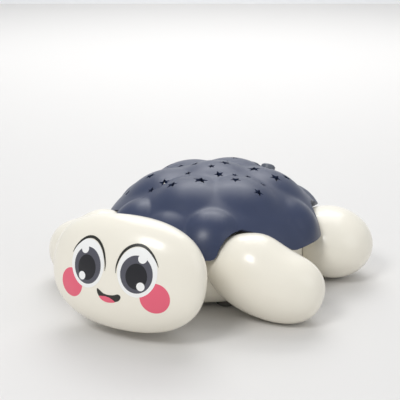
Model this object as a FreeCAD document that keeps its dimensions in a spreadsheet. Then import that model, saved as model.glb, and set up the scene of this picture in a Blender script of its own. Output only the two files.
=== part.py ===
import FreeCAD, Part
import math
import os
import Sketcher

# A star night light projector in the shape of a turtle, in millimetres.
# The origin is on the table under the middle of the shell, +Z up, head towards -Y, its left side at +X.
doc = FreeCAD.newDocument("StarProjector")
sheet = doc.addObject("Spreadsheet::Sheet", "Sizes")

# Driving dimensions: alias, value, what it measures.
DRIVING = [
    ("shell_width", 149, "navy shell across, side lobe to side lobe"),
    ("shell_length", 163.6, "navy shell from front tabs to tail lobe"),
    ("dome_rise", 49.8, "shell top above the dome's centre"),
    ("dome_level", 26, "height of the dome's centre"),
    ("shell_wall", 2.2, "wall of the shell cover"),
    ("rim_level", 36.5, "lower edge of the shell's lobes"),
    ("arch_room", 2.4, "air between a limb and the shell's arch over it"),
    ("scute_radius", 40, "curve of the big puffed plates"),
    ("edge_scute_radius", 27, "curve of the small plates round the rim"),
    ("tab_scute_radius", 24, "curve of the plates on the two front tabs"),
    ("scute_puff", 3.6, "how far a big plate stands above the dome"),
    ("edge_scute_puff", 2.8, "how far a rim plate stands above the dome"),
    ("tab_scute_puff", 4.6, "how far a front tab's plate stands above the dome"),
    ("liner_wall", 1.0, "wall of the clear dust liner"),
    ("liner_width", 112, "clear dust liner across"),
    ("liner_length", 92, "clear dust liner, front to back"),
    ("torso_width", 120, "cream body across"),
    ("torso_length", 136, "cream body, front to back"),
    ("casing_wall", 2.4, "wall of both casings"),
    ("base_level", 3, "underside of the lower casing"),
    ("base_round", 12, "round between base and side"),
    ("split_level", 22, "joint of the two casings"),
    ("deck_level", 44, "top of the deck under the shell"),
    ("deck_thickness", 2.4, "deck of the upper casing"),
    ("head_width", 100, "head across"),
    ("face_depth", 18.7, "face in front of the head's widest section"),
    ("nape_depth", 28, "head behind its widest section"),
    ("head_tall", 66, "head height before it is tipped"),
    ("head_ahead", 108.9, "head's widest section in front of the shell's centre"),
    ("head_level", 37.4, "head centre above the table"),
    ("head_tip", 11, "degrees the face looks up"),
    ("head_wall", 2.4, "wall of the head"),
    ("head_seam_ahead", 91, "joint of face shell and rear cover"),
    ("head_lip", 4, "lip of the rear cover inside the face shell"),
    ("neck_width", 40, "neck across"),
    ("neck_tall", 26, "neck height"),
    ("neck_level", 22.5, "neck centre above the table"),
    ("front_limb_length", 76.4, "front flipper, along itself"),
    ("front_limb_breadth", 43.4, "front flipper across"),
    ("front_limb_depth", 48, "front flipper, thickness"),
    ("front_limb_side", 59.5, "front flipper centre from the middle"),
    ("front_limb_ahead", 51, "front flipper centre towards the head"),
    ("front_limb_back", 6.7, "degrees the front flipper turns back"),
    ("front_limb_dip", 15.8, "degrees the front flipper's tip drops"),
    ("hind_limb_length", 58.8, "hind flipper, along itself"),
    ("hind_limb_breadth", 57.2, "hind flipper across"),
    ("hind_limb_depth", 46.2, "hind flipper, thickness"),
    ("hind_limb_side", 67.8, "hind flipper centre from the middle"),
    ("hind_limb_behind", 38.3, "hind flipper centre towards the tail"),
    ("hind_limb_back", -37, "degrees the hind flipper turns back: it points a little to the head"),
    ("hind_limb_dip", 8.8, "degrees the hind flipper's tip drops"),
    ("limb_wall", 2.2, "wall of a flipper"),
    ("limb_root_wall", 3, "wall of a flipper against the body"),
    ("table_gap", 0.3, "air under a flipper"),
    ("seat_gap", 0.3, "air between curved faces of two pieces"),
    ("fit_gap", 0.05, "air round a screw or a fitted peg"),
    ("slide_gap", 0.25, "air round a button, a knob or the battery door"),
    ("star_reach", 3.4, "centre to tip of the middle-sized star hole"),
    ("star_waist", 0.45, "inner corners of a star over its tips"),
    ("cell_radius", 5.25, "AAA cell"),
    ("cell_length", 44.5, "AAA cell with its button"),
    ("cell_pitch", 11.6, "cell to cell"),
    ("nub_radius", 1.9, "button on the end of a cell"),
    ("nub_height", 1, "button on the end of a cell"),
    ("contact_thickness", 0.5, "contact plate"),
    ("contact_side", 8.9, "contact plate, square"),
    ("spring_radius", 3.15, "contact spring, to the middle of its wire"),
    ("wire_radius", 0.35, "wire of a contact spring"),
    ("spring_room", 5, "room for spring and contacts in the bay"),
    ("bay_wall", 1.6, "walls of the battery bay"),
    ("bay_height", 12.2, "inside height of the battery bay"),
    ("door_margin", 8, "battery door past the bay at its screw ends"),
    ("door_thickness", 2.2, "battery door"),
    ("door_ledge", 2, "ledge the door lies on"),
    ("screw_radius", 1.5, "screw shank"),
    ("screw_head_radius", 2.8, "screw head"),
    ("screw_head_height", 1.8, "screw head"),
    ("screw_head_edge", 0.6, "slope round a screw head"),
    ("screw_tip_room", 1, "air beyond the end of a screw"),
    ("post_radius", 3.8, "screw post"),
    ("board_post_radius", 2.8, "screw post for a circuit board"),
    ("case_post_side", 43, "casing screws from the middle"),
    ("case_post_along", 30, "casing screws towards head and tail"),
    ("front_shell_post_side", 14, "front shell screws from the middle"),
    ("front_shell_post_ahead", 57, "front shell screws towards the head"),
    ("rear_shell_post_side", 33, "rear shell screws from the middle"),
    ("rear_shell_post_behind", 45, "rear shell screws towards the tail"),
    ("pilot_depth", 9, "how deep a screw bites"),
    ("foot_radius", 6, "rubber foot"),
    ("foot_recess", 1, "recess that holds a rubber foot"),
    ("foot_edge", 1, "slope round a rubber foot"),
    ("foot_side", 30, "feet from the middle"),
    ("foot_along", 42, "feet towards head and tail"),
    ("board_thickness", 1.6, "circuit boards"),
    ("light_board_radius", 21, "light board"),
    ("light_post_height", 4, "posts that carry the light board"),
    ("light_post_reach", 16, "light board screws from the middle"),
    ("led_radius", 2.5, "LED"),
    ("led_height", 6.5, "LED, board to tip"),
    ("led_flange", 0.4, "flange past the LED's side"),
    ("led_flange_height", 1, "flange at the LED's foot"),
    ("led_spread", 5.5, "LEDs from the middle"),
    ("cup_floor_radius", 9.6, "light cup at the board"),
    ("cup_mouth_radius", 13, "light cup at its mouth"),
    ("cup_height", 9, "light cup"),
    ("cup_wall", 1.2, "light cup"),
    ("button_radius", 5, "push button"),
    ("button_pitch", 12, "button to button"),
    ("button_back", 58, "buttons behind the shell's centre"),
    ("button_proud", 1.2, "button above the shell"),
    ("button_travel", 0.8, "how far a button presses"),
    ("button_lip", 0.8, "lip that keeps a button in"),
    ("button_stem_radius", 2, "stem under a button"),
    ("button_edge", 0.8, "slope round the top of a button"),
    ("button_depth", 9, "button top to the end of its stem"),
    ("switch_side", 6, "push switch, square"),
    ("switch_height", 3.5, "push switch case"),
    ("plunger_radius", 1.6, "push switch plunger"),
    ("plunger_height", 1, "push switch plunger"),
    ("keyboard_length", 52, "control board across"),
    ("keyboard_width", 12, "control board"),
    ("power_back", 38, "power switch behind the shell's centre"),
    ("power_length", 13, "power switch body"),
    ("power_width", 6.6, "power switch body"),
    ("power_height", 5, "power switch body"),
    ("power_wall", 0.8, "can of the power switch"),
    ("knob_length", 4, "power knob"),
    ("knob_width", 3, "power knob"),
    ("knob_travel", 3, "power knob, off to on"),
    ("knob_reach", 1.6, "power knob below the base, in its well"),
    ("well_depth", 2, "sunk well round the power knob"),
]
for row, (alias, value, meaning) in enumerate(DRIVING, start=1):
    sheet.set("A%d" % row, meaning)
    sheet.set("B%d" % row, str(value))
    sheet.setAlias("B%d" % row, alias)
doc.recompute()


def size(alias):
    """The value of one driving dimension."""
    return float(sheet.get(alias))


def bind(thing, **formulas):
    """Bind properties of an object to the sheet: a word in a formula that is an alias is read there."""
    aliases = {alias for alias, value, meaning in DRIVING}
    for prop, formula in formulas.items():
        words = formula.replace("(", " ( ").replace(")", " ) ").split()
        bound = " ".join("Sizes." + word if word in aliases else word for word in words)
        thing.setExpression(prop.replace("__", "."), bound)


def vec(x, y, z):
    return FreeCAD.Vector(x, y, z)


UP = vec(0, 0, 1)


def placed(centre, turn=None):
    return FreeCAD.Placement(centre, turn or FreeCAD.Rotation())


# Simple solids whose sizes are bound to the sheet.
def ellipsoid(name, across, along, tall, place):
    solid = doc.addObject("Part::Ellipsoid", name)
    solid.Angle1 = -90
    solid.Angle2 = 90
    solid.Angle3 = 360
    bind(solid, Radius2=across, Radius3=along, Radius1=tall)
    solid.Placement = place
    return solid


def cylinder(name, radius, height, place):
    solid = doc.addObject("Part::Cylinder", name)
    bind(solid, Radius=radius, Height=height)
    solid.Placement = place
    return solid


def box(name, along_x, along_y, along_z, centre):
    """A box centred in X and Y on a place and standing on it."""
    solid = doc.addObject("Part::Box", name)
    bind(solid, Length=along_x, Width=along_y, Height=along_z)
    doc.recompute()
    half = vec(solid.Length.Value / 2, solid.Width.Value / 2, 0)
    solid.Placement = placed(centre - half)
    return solid


def number(formula):
    """The value of a formula of sheet words."""
    aliases = {alias for alias, value, meaning in DRIVING}
    words = formula.replace("(", " ( ").replace(")", " ) ").split()
    parts = [repr(size(word)) if word in aliases else word for word in words]
    return doc.Sizes.evalExpression(" ".join(parts))


def oval_prism(name, across, along, height, floor):
    """An upright prism with an elliptical plan."""
    plan = doc.addObject("Part::Ellipse", name + "_plan")
    plan.MajorRadius = ROOM
    longer_in_y = number(along) > number(across)
    if longer_in_y:
        bind(plan, MajorRadius=along, MinorRadius=across)
    else:
        bind(plan, MajorRadius=across, MinorRadius=along)
    plan.Placement = placed(vec(0, 0, floor), FreeCAD.Rotation(UP, 90 if longer_in_y else 0))
    solid = doc.addObject("Part::Extrusion", name)
    solid.Base = plan
    solid.DirMode = "Custom"
    solid.Dir = UP
    solid.Solid = True
    bind(solid, LengthFwd=height)
    return solid


def fuse(name, pieces):
    joined = doc.addObject("Part::MultiFuse", name)
    joined.Shapes = pieces
    return joined


def cut(name, base, tools):
    """Take one or more tools away from a base."""
    result = doc.addObject("Part::Cut", name)
    result.Base = base
    result.Tool = tools[0] if len(tools) == 1 else fuse(name + "_tools", tools)
    return result


def common(name, pieces):
    result = doc.addObject("Part::MultiCommon", name)
    result.Shapes = pieces
    return result


def outline(body, role, points):
    """A closed sketch of straight lines on an origin plane, each corner held by two bound distances."""
    plane = [f for f in body.Origin.OriginFeatures if f.Role == role][0]
    sketch = body.newObject("Sketcher::SketchObject", body.Name + "_outline")
    sketch.AttachmentSupport = [(plane, "")]
    sketch.MapMode = "FlatFace"
    doc.recompute()
    corners = [[number(formula) for formula in pair] for pair in points]
    count = len(corners)
    for i, corner in enumerate(corners):
        after = corners[(i + 1) % count]
        sketch.addGeometry(Part.LineSegment(vec(*corner, 0), vec(*after, 0)), False)
    for i in range(count):
        sketch.addConstraint(Sketcher.Constraint("Coincident", i, 2, (i + 1) % count, 1))
    for i, corner in enumerate(corners):
        for kind, axis, value, formula in zip(("DistanceX", "DistanceY"), (-2, -1), corner, points[i]):
            if abs(value) < 1e-9:
                sketch.addConstraint(Sketcher.Constraint("PointOnObject", i, 1, axis))
            else:
                index = sketch.addConstraint(Sketcher.Constraint(kind, -1, 1, i, 1, value))
                bind(sketch, **{"Constraints[%d]" % index: formula})
    doc.recompute()
    return sketch


def turned(name, points):
    """A body turned about its own upright axis from an outline of (radius, height) corners."""
    body = doc.addObject("PartDesign::Body", name)
    sketch = outline(body, "XZ_Plane", points)
    spin = body.newObject("PartDesign::Revolution", name + "_spin")
    spin.Profile = sketch
    spin.ReferenceAxis = (sketch, ["V_Axis"])
    spin.Angle = 360
    doc.recompute()
    return body


def plate(name, half_across, half_along, thickness):
    """A flat rectangular body centred on its own origin, its lower face there."""
    body = doc.addObject("PartDesign::Body", name)
    left = "0 - ( %s )" % half_across
    front = "0 - ( %s )" % half_along
    corners = [(left, front), (half_across, front), (half_across, half_along), (left, half_along)]
    pad = body.newObject("PartDesign::Pad", name + "_pad")
    pad.Profile = outline(body, "XY_Plane", corners)
    bind(pad, Length=thickness)
    doc.recompute()
    return body


NODES = []


def node(piece, label):
    """Name a finished piece: its label is the name of its file."""
    piece.Label = label
    NODES.append(piece)
    return piece


def group(label, solids):
    """Identical small pieces that share one node, each a solid of its own."""
    bundle = doc.addObject("Part::Feature", "Group_" + label)
    bundle.Shape = Part.makeCompound(solids)
    bundle.Placement = placed(vec(0, 0, 0))
    return node(bundle, label)


def copies(form, places):
    """The shape of a form body set down at each place."""
    doc.recompute()
    solids = []
    for place in places:
        solid = form.Shape.Solids[0].copy()
        solid.Placement = place.multiply(form.Placement)
        solids.append(solid)
    return solids


def four(side, along, level):
    """Four places, mirrored left to right and front to back."""
    return [vec(sx * side, sy * along, level) for sx in (-1, 1) for sy in (-1, 1)]


# The dome and the plates that puff out of it.
HALF_WIDTH = size("shell_width") / 2
HALF_LENGTH = size("shell_length") / 2
RISE = size("dome_rise")


def on_dome(x, y):
    """The point of the plain dome above a place of the plan, and the way it faces."""
    lift = math.sqrt(max(0.02, 1 - (x / HALF_WIDTH) ** 2 - (y / HALF_LENGTH) ** 2))
    point = vec(x, y, size("dome_level") + RISE * lift)
    facing = vec(x / HALF_WIDTH ** 2, y / HALF_LENGTH ** 2, lift / RISE)
    return point, facing.normalize()


# Plates of the shell as shares of its half width and half length: big ones, those round the rim, the front tabs.
BUTTON_SHARE = size("button_back") / HALF_LENGTH
BIG_SCUTES = [(0, -0.50), (0, 0.0), (0, BUTTON_SHARE - 0.3), (0, BUTTON_SHARE),
              (0.45, -0.27), (-0.45, -0.27), (0.48, 0.25), (-0.48, 0.25)]
EDGE_SCUTES = [(0.87, 0.0), (-0.87, 0.0), (0.63, 0.67), (-0.63, 0.67), (0, -0.86)]
TAB_SCUTES = [(0.40, -0.74), (-0.40, -0.74)]


def scutes(name, inset):
    """The dome with its puffed plates, all faces moved inwards by an inset formula."""
    dome = ellipsoid(name + "_dome", "shell_width / 2 - ( %s )" % inset, "shell_length / 2 - ( %s )" % inset,
                     "dome_rise - ( %s )" % inset, placed(vec(0, 0, size("dome_level"))))
    pieces = [dome]
    kinds = ((BIG_SCUTES, "scute_radius", "scute_puff"),
             (EDGE_SCUTES, "edge_scute_radius", "edge_scute_puff"),
             (TAB_SCUTES, "tab_scute_radius", "tab_scute_puff"))
    for plates, radius, puff in kinds:
        for i, (share_x, share_y) in enumerate(plates):
            point, facing = on_dome(share_x * HALF_WIDTH, share_y * HALF_LENGTH)
            puffed = doc.addObject("Part::Sphere", "%s_%s_%d" % (name, radius, i))
            bind(puffed, Radius="%s - ( %s )" % (radius, inset))
            puffed.Placement = placed(point + facing * (size(puff) - size(radius)))
            pieces.append(puffed)
    return fuse(name, pieces)


def limb_place(kind, side):
    """Centre and turn of a flipper: kind is front or hind, side is 1 for the left and -1 for the right."""
    back = -1 if kind == "front" else 1
    reach = size("front_limb_ahead") if kind == "front" else size("hind_limb_behind")
    yaw = side * size(kind + "_limb_back")
    dip = side * size(kind + "_limb_dip")
    lean = math.radians(size(kind + "_limb_dip"))
    half_length = size(kind + "_limb_length") / 2
    half_depth = size(kind + "_limb_depth") / 2
    drop = math.hypot(half_length * math.sin(lean), half_depth * math.cos(lean))
    centre = vec(side * size(kind + "_limb_side"), back * reach, drop + size("table_gap"))
    turn = FreeCAD.Rotation(UP, yaw) * FreeCAD.Rotation(vec(0, 1, 0), dip)
    return placed(centre, turn)


def limb_blob(kind, side, name, inset):
    """A flipper's rounded solid with its faces moved inwards by an inset formula."""
    sizes = ["%s_limb_%s / 2 - ( %s )" % (kind, way, inset) for way in ("length", "breadth", "depth")]
    return ellipsoid("%s_%s_%s" % (kind, "left" if side > 0 else "right", name), *sizes, limb_place(kind, side))


HEAD_PLACE = placed(vec(0, -size("head_ahead"), size("head_level")),
                    FreeCAD.Rotation(vec(1, 0, 0), -size("head_tip")))


def head_blob(name, inset):
    """The head's rounded solid, flatter in front than behind, its faces moved inwards by an inset formula."""
    halves = []
    for half, turn in (("face", 180), ("nape", 0)):
        place = placed(HEAD_PLACE.Base, HEAD_PLACE.Rotation * FreeCAD.Rotation(UP, turn))
        solid = ellipsoid("%s_%s" % (name, half), "head_width / 2 - ( %s )" % inset,
                          "%s_depth - ( %s )" % (half, inset), "head_tall / 2 - ( %s )" % inset, place)
        solid.Angle3 = 180
        halves.append(solid)
    return fuse(name, halves)


LIMBS = [(kind, side) for kind in ("front", "hind") for side in (1, -1)]
ROOM = 200


def arch_tool():
    """Limbs and head grown by the air that the shell leaves round them, as one tool."""
    grown = [limb_blob(kind, side, "arch", "0 - arch_room") for kind, side in LIMBS]
    return fuse("Arches", grown + [head_blob("HeadArch", "0 - arch_room")])


def star_points(centre, reach, turn):
    """The ten corners of a five-pointed star."""
    corners = []
    for i in range(10):
        radius = reach if i % 2 == 0 else reach * size("star_waist")
        angle = math.radians(turn + 36 * i)
        corners.append(vec(centre[0] + radius * math.cos(angle), centre[1] + radius * math.sin(angle), 0))
    return corners + corners[:1]


# Star holes of the crown: share of the half width and half length, size against the middle one, turn.
STARS = [
    (0.07, -0.36, 1.55, 20), (0.32, -0.22, 1.15, 60), (0.55, -0.25, 0.95, 10), (-0.13, -0.49, 1.1, 75),
    (-0.25, -0.40, 1.15, 30), (-0.33, -0.49, 0.8, 5), (0.14, -0.17, 1.0, 50), (0.25, -0.10, 0.7, 0),
    (0.34, -0.04, 0.75, 40), (0.50, -0.08, 0.7, 65), (-0.13, -0.22, 0.8, 15), (0.03, -0.10, 0.8, 33),
    (0.09, 0.04, 1.2, 55), (0.30, 0.15, 1.4, 25), (0.52, 0.13, 1.2, 70), (0.56, 0.28, 1.0, 35),
    (0.37, 0.31, 0.9, 10), (-0.46, -0.31, 1.1, 62), (-0.66, -0.08, 0.8, 22), (-0.64, -0.41, 0.9, 48),
    (-0.43, -0.07, 1.0, 12), (-0.36, 0.03, 0.8, 30), (-0.17, -0.04, 1.0, 66), (-0.25, 0.35, 1.2, 18),
    (0.01, 0.34, 0.9, 42), (-0.55, 0.12, 1.0, 57), (0.01, 0.18, 1.0, 5), (0.20, 0.42, 0.9, 28),
]


def star_prisms():
    """Upright star prisms that pierce the crown of the shell."""
    prisms = []
    for share_x, share_y, scale, turn in STARS:
        place = (share_x * HALF_WIDTH, share_y * HALF_LENGTH)
        ring = Part.makePolygon(star_points(place, scale * size("star_reach"), turn))
        prism = Part.Face(ring).extrude(vec(0, 0, ROOM))
        prism.translate(vec(0, 0, size("deck_level")))
        prisms.append(prism)
    tool = doc.addObject("Part::Feature", "StarPrisms")
    tool.Shape = Part.makeCompound(prisms)
    tool.Placement = placed(vec(0, 0, 0))
    return tool


# The buttons on the tail of the shell: they slide along the way the dome faces there.
BUTTON_POINT, BUTTON_FACING = on_dome(0, size("button_back"))
BUTTON_POINT = BUTTON_POINT + BUTTON_FACING * size("scute_puff")
BUTTON_TURN = FreeCAD.Rotation(UP, BUTTON_FACING)
BUTTON_NAMES = ["timer_button", "light_button", "colour_button"]


def along_buttons(across, depth):
    """A place on the control panel: across it and below its surface."""
    return BUTTON_POINT + vec(across, 0, 0) - BUTTON_FACING * depth


def button_offsets():
    return [(i - 1) * size("button_pitch") for i in range(3)]


def panel_drop(across):
    """How far the puffed panel has curved away at a distance from its middle."""
    radius = size("scute_radius")
    return radius - math.sqrt(radius ** 2 - across ** 2)


# How deep things lie below the top of the shell at the control panel.
STEM_END = size("button_depth") - size("button_proud")
SWITCH_TOP = STEM_END + size("button_travel") + size("fit_gap")
KEYBOARD_TOP = SWITCH_TOP + size("plunger_height") + size("switch_height")
LIP_REACH = size("button_pitch") + size("button_radius") + size("button_lip")
LIP_TOP = STEM_END - size("shell_wall") - panel_drop(LIP_REACH) - size("slide_gap")
KEY_POST_ACROSS = size("keyboard_length") / 2 - size("board_post_radius") - size("fit_gap")


def shell_posts():
    """The four places where screws hold the shell to the deck."""
    places = []
    for side in (-1, 1):
        places.append(vec(side * size("front_shell_post_side"), -size("front_shell_post_ahead"), size("deck_level")))
        places.append(vec(side * size("rear_shell_post_side"), size("rear_shell_post_behind"), size("deck_level")))
    return places


def slab(name, low, high):
    """A wide flat box between two levels."""
    return box(name, "%d" % (2 * ROOM), "%d" % (2 * ROOM), "( %s ) - ( %s )" % (high, low), vec(0, 0, number(low)))


def make_shell():
    """The navy cover: puffed plates, arches over the limbs, star holes, screw posts and button holes."""
    outer = scutes("ShellOuter", "0")
    inner = scutes("ShellInner", "shell_wall")
    skin = cut("ShellSkin", outer, [inner])
    posts = []
    for i, place in enumerate(shell_posts()):
        posts.append(cylinder("ShellPost%d" % i, "post_radius", "dome_rise", placed(place)))
    for i, side in enumerate((-1, 1)):
        foot = along_buttons(side * KEY_POST_ACROSS, KEYBOARD_TOP)
        posts.append(cylinder("KeyPost%d" % i, "board_post_radius", "dome_rise", placed(foot, BUTTON_TURN)))
    bosses = common("ShellBosses", [fuse("ShellPosts", posts), outer])
    solid = fuse("ShellSolid", [skin, bosses])
    tools = [slab("ShellBelow", "rim_level - shell_width", "rim_level"), ARCHES]
    for i, place in enumerate(shell_posts()):
        tools.append(cylinder("ShellPilot%d" % i, "screw_radius + fit_gap", "pilot_depth", placed(place)))
    for i, side in enumerate((-1, 1)):
        foot = along_buttons(side * KEY_POST_ACROSS, KEYBOARD_TOP)
        tools.append(cylinder("KeyPilot%d" % i, "screw_radius + fit_gap", "pilot_depth / 2",
                              placed(foot, BUTTON_TURN)))
    for i, offset in enumerate(button_offsets()):
        foot = along_buttons(offset, KEYBOARD_TOP)
        tools.append(cylinder("ButtonHole%d" % i, "button_radius + slide_gap", "dome_rise",
                              placed(foot, BUTTON_TURN)))
    opened = cut("ShellOpened", solid, tools)
    return node(cut("ShellCover", opened, [star_prisms()]), "shell_cover")


def dome_shell(name, inset):
    """The plain dome with its faces moved inwards by an inset formula."""
    return ellipsoid(name, "shell_width / 2 - ( %s )" % inset, "shell_length / 2 - ( %s )" % inset,
                     "dome_rise - ( %s )" % inset, placed(vec(0, 0, size("dome_level"))))


def make_liner():
    """A clear dome that keeps dust and small fingers out of the star holes."""
    outer = dome_shell("LinerOuter", "shell_wall + seat_gap")
    inner = dome_shell("LinerInner", "shell_wall + seat_gap + liner_wall")
    plan = oval_prism("LinerPlan", "liner_width / 2", "liner_length / 2", "dome_rise", size("deck_level"))
    disc = common("LinerDisc", [outer, plan])
    tools = [inner]
    for i, place in enumerate(shell_posts()):
        tools.append(cylinder("LinerNotch%d" % i, "post_radius + seat_gap", "dome_rise", placed(place)))
    return node(cut("Liner", disc, tools), "dust_liner")


def torso_prism(name, inset, low, high):
    """The body's oval prism between two levels, its side moved inwards by an inset formula."""
    return oval_prism(name, "torso_width / 2 - ( %s )" % inset, "torso_length / 2 - ( %s )" % inset,
                      "( %s ) - ( %s )" % (high, low), number(low))


def limb_screw(kind, side, level):
    """Where a flipper's screw crosses the body's side at a level: the place, and the way out."""
    centre = limb_place(kind, side).Base
    half_x = size("torso_width") / 2
    half_y = size("torso_length") / 2
    angle = math.atan2(centre.y / half_y, centre.x / half_x)
    point = vec(half_x * math.cos(angle), half_y * math.sin(angle), level)
    return point, vec(math.cos(angle) / half_x, math.sin(angle) / half_y, 0).normalize()


# The lower screws sit above the round of the base, the upper ones well clear of the joint.
LIMB_SCREW_LEVELS = {"lower": size("split_level") - size("post_radius"),
                     "upper": size("split_level") + 2 * size("post_radius")}


def neck_screws():
    """Where the two neck screws cross the body's front, level with the flippers' upper screws."""
    across = size("neck_width") / 4
    ahead = size("torso_length") / 2 * math.sqrt(1 - (2 * across / size("torso_width")) ** 2)
    return [vec(side * across, -ahead, LIMB_SCREW_LEVELS["upper"]) for side in (-1, 1)]


SHANK = "casing_wall + limb_root_wall + seat_gap"


def side_bores(name, storey):
    """Bores through the casing's side for the flipper screws of one storey."""
    bores = []
    for kind, side in LIMBS:
        point, out = limb_screw(kind, side, LIMB_SCREW_LEVELS[storey])
        start = point - out * (2 * size("casing_wall"))
        bores.append(cylinder("%s_%s_%d" % (name, kind, side), "screw_radius + fit_gap",
                              "4 * casing_wall + limb_root_wall", placed(start, FreeCAD.Rotation(UP, out))))
    return bores


def make_upper_casing():
    """The upper half of the body: side wall, deck under the shell with its flange, and posts."""
    wall = torso_prism("UpperWall", "0", "split_level", "deck_level")
    room = torso_prism("UpperRoom", "casing_wall", "split_level", "deck_level - deck_thickness")
    shrink = " * ( 1 - ( ( deck_level - dome_level ) / ( dome_rise - shell_wall ) ) ^ 2 ) ^ 0.5 - seat_gap"
    flange = oval_prism("Flange", "( shell_width / 2 - shell_wall )" + shrink,
                        "( shell_length / 2 - shell_wall )" + shrink, "deck_thickness",
                        size("deck_level") - size("deck_thickness"))
    trimmed = cut("FlangeTrimmed", flange, [ARCHES])
    pieces = [cut("UpperTub", wall, [room]), trimmed]
    for i, place in enumerate(four(size("case_post_side"), size("case_post_along"), size("split_level"))):
        pieces.append(cylinder("UpperPost%d" % i, "post_radius", "deck_level - split_level - deck_thickness / 2",
                               placed(place)))
    for i in range(3):
        pieces.append(cylinder("LightPost%d" % i, "board_post_radius", "light_post_height + deck_thickness / 2",
                               placed(light_post(i) - UP * (size("deck_thickness") / 2))))
    tools = side_bores("UpperBore", "upper")
    for i, place in enumerate(four(size("case_post_side"), size("case_post_along"), size("split_level"))):
        tools.append(cylinder("UpperPilot%d" % i, "screw_radius + fit_gap", "pilot_depth", placed(place)))
    for i in range(3):
        tools.append(cylinder("LightPilot%d" % i, "screw_radius + fit_gap", "light_post_height",
                              placed(light_post(i))))
    for i, place in enumerate(shell_posts()):
        tools.append(cylinder("DeckBore%d" % i, "screw_radius + fit_gap", "2 * deck_thickness",
                              placed(place - UP * (1.5 * size("deck_thickness")))))
    for i, place in enumerate(neck_screws()):
        start = place + vec(0, 2 * size("casing_wall"), 0)
        tools.append(cylinder("NeckBore%d" % i, "screw_radius + fit_gap", "4 * casing_wall",
                              placed(start, FreeCAD.Rotation(UP, vec(0, -1, 0)))))
    tools.append(cylinder("WireHole", "post_radius", "2 * deck_thickness",
                          placed(vec(0, 0, size("deck_level") - 1.5 * size("deck_thickness")))))
    return node(cut("UpperCasing", fuse("UpperSolid", pieces), tools), "upper_casing")


def light_post(i):
    angle = math.radians(90 + 120 * i)
    reach = size("light_post_reach")
    return vec(reach * math.cos(angle), reach * math.sin(angle), size("deck_level"))


BAY_INSIDE = ("cell_length + spring_room", "3 * cell_pitch")
DOOR = ("cell_length + spring_room + 2 * door_margin", "3 * cell_pitch + 2 * door_ledge")


def make_lower_casing():
    """The tub of the body: rounded base, battery bay, posts, foot recesses and the power switch's well."""
    wall = torso_prism("LowerWall", "0", "base_level", "split_level")
    doc.recompute()
    rounded = doc.addObject("Part::Fillet", "LowerRounded")
    rounded.Base = wall
    lowest = min(range(len(wall.Shape.Edges)), key=lambda i: wall.Shape.Edges[i].CenterOfMass.z)
    rounded.Edges = [(lowest + 1, size("base_round"), size("base_round"))]
    hollow = torso_prism("LowerRoom", "casing_wall", "base_level + casing_wall", "split_level")
    doc.recompute()
    hollow_rounded = doc.addObject("Part::Fillet", "LowerRoomRounded")
    hollow_rounded.Base = hollow
    lowest = min(range(len(hollow.Shape.Edges)), key=lambda i: hollow.Shape.Edges[i].CenterOfMass.z)
    inner_round = size("base_round") - size("casing_wall")
    hollow_rounded.Edges = [(lowest + 1, inner_round, inner_round)]
    floor = size("base_level")
    pieces = [cut("LowerTub", rounded, [hollow_rounded])]
    pieces.append(box("BayBlock", DOOR[0] + " + 2 * bay_wall", DOOR[1] + " + 2 * bay_wall",
                      "door_thickness + bay_height + bay_wall", vec(0, 0, floor)))
    pieces.append(box("SwitchBlock", "power_length + 4 * power_wall", "power_width + 4 * power_wall",
                      "well_depth + casing_wall", vec(0, size("power_back"), floor)))
    for i, place in enumerate(four(size("case_post_side"), size("case_post_along"), floor)):
        pieces.append(cylinder("LowerPost%d" % i, "post_radius + screw_radius", "split_level - base_level",
                               placed(place)))
    tools = [box("DoorRecess", DOOR[0] + " + 2 * slide_gap", DOOR[1] + " + 2 * slide_gap", "door_thickness",
                 vec(0, 0, floor))]
    tools.append(box("BayRoom", *BAY_INSIDE, "door_thickness + bay_height", vec(0, 0, floor)))
    for i, place in enumerate(four(size("case_post_side"), size("case_post_along"), floor)):
        tools.append(cylinder("LowerBore%d" % i, "screw_radius + fit_gap", "split_level", placed(place)))
        tools.append(cylinder("HeadBore%d" % i, "screw_head_radius + slide_gap",
                              "split_level - base_level - pilot_depth", placed(place)))
    for i, place in enumerate(four(size("foot_side"), size("foot_along"), floor)):
        tools.append(cylinder("FootRecess%d" % i, "foot_radius + fit_gap", "foot_recess", placed(place)))
    for i, side in enumerate((-1, 1)):
        tools.append(cylinder("DoorPilot%d" % i, "screw_radius + fit_gap", "door_thickness + pilot_depth",
                              placed(vec(side * door_screw_side(), 0, floor))))
    tools.append(box("Well", "knob_length + knob_travel + 4 * power_wall", "knob_width + 4 * power_wall",
                     "well_depth", vec(0, size("power_back"), floor)))
    tools.append(box("Slot", "knob_length + knob_travel + 2 * slide_gap", "knob_width + 2 * slide_gap",
                     "well_depth + casing_wall", vec(0, size("power_back"), floor)))
    tools += side_bores("LowerBoreSide", "lower")
    return node(cut("LowerCasing", fuse("LowerSolid", pieces), tools), "lower_casing")


def door_screw_side():
    return number(DOOR[0]) / 2 - size("door_margin") / 2


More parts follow.
